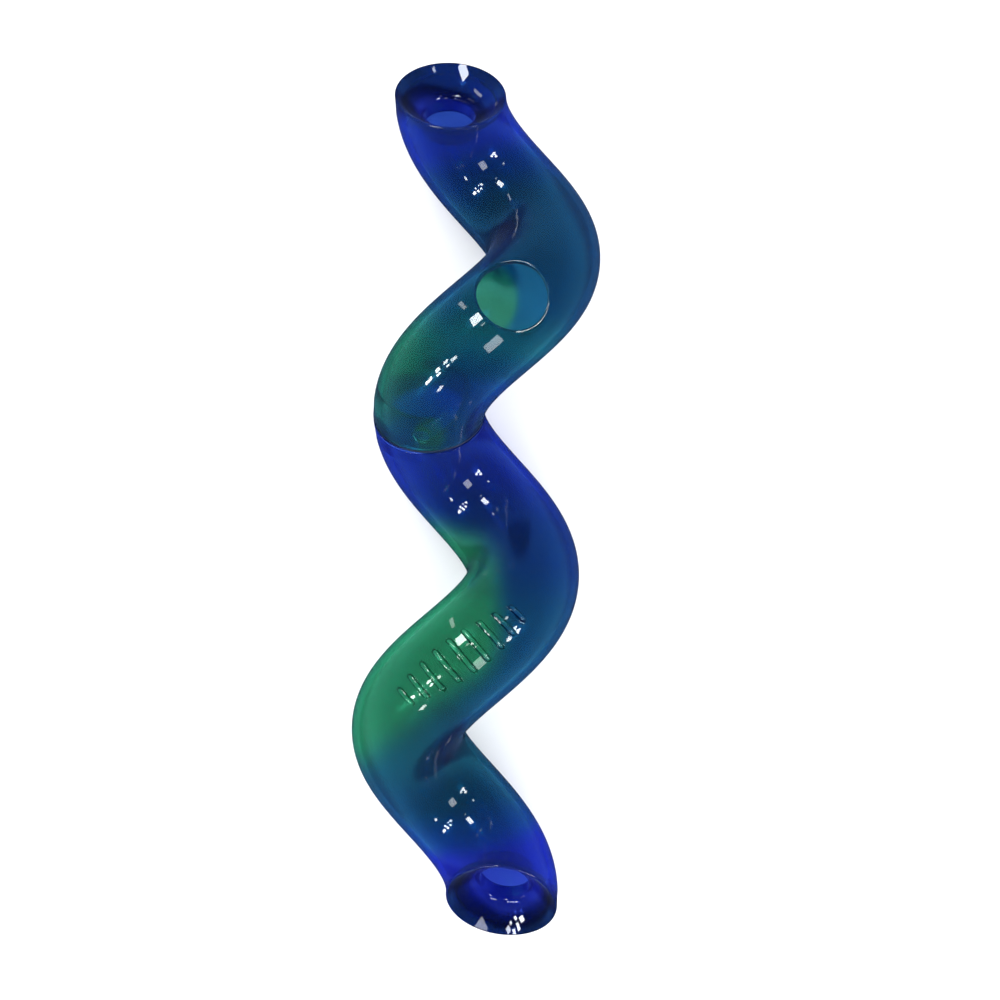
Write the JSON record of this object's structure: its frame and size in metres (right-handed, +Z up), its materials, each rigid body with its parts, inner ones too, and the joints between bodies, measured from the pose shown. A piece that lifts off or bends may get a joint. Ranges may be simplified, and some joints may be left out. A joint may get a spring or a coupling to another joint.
{
  "type": "spiral treat tube",
  "caption": "Hollow helical plastic tube in two lengths that twist apart, with a funnel mouth at each end and a round side port, for dry treats.",
  "frame": {"origin": "on the surface that the tube lies on, under the middle of its bounding box", "axes": "+Y along the helix's axis towards the top mouth, +Z up from the surface, +X to the right seen from above with +Y up the page"},
  "size_m": [0.0688, 0.2798, 0.0695],
  "materials": {
    "upper_plastic": "glossy translucent, green at the seam running to blue at the mouth",
    "lower_plastic": "glossy translucent, blue at both ends and green on the middle strand",
    "funnel_plastic": "glossy translucent deep blue",
    "seal_rubber": "satin, dark blue"
  },
  "bodies": {
    "lower_half": {"lower_tube": "lower_plastic", "bottom_mouth_funnel": "funnel_plastic"},
    "seal_ring": {"joint_seal_ring": "seal_rubber"},
    "upper_half": {"upper_tube": "upper_plastic", "top_mouth_funnel": "funnel_plastic"}
  },
  "joints": [
    {"name": "coupling_twist", "type": "hinge", "parent": "lower_half", "child": "seal_ring", "pos_m": [-0.01658, 0.02479, 0.03288], "axis": [-0.0676, 0.6953, 0.7156], "range_deg": [0, 90]},
    {"name": "coupling_pull", "type": "slide", "parent": "seal_ring", "child": "upper_half", "axis": [-0.0676, 0.6953, 0.7156], "range_m": [0, 0.012]}
  ],
  "couplings": [
    {"joint": "coupling_pull", "follows": "coupling_twist", "m_per_rad": 0.0076394}
  ]
}
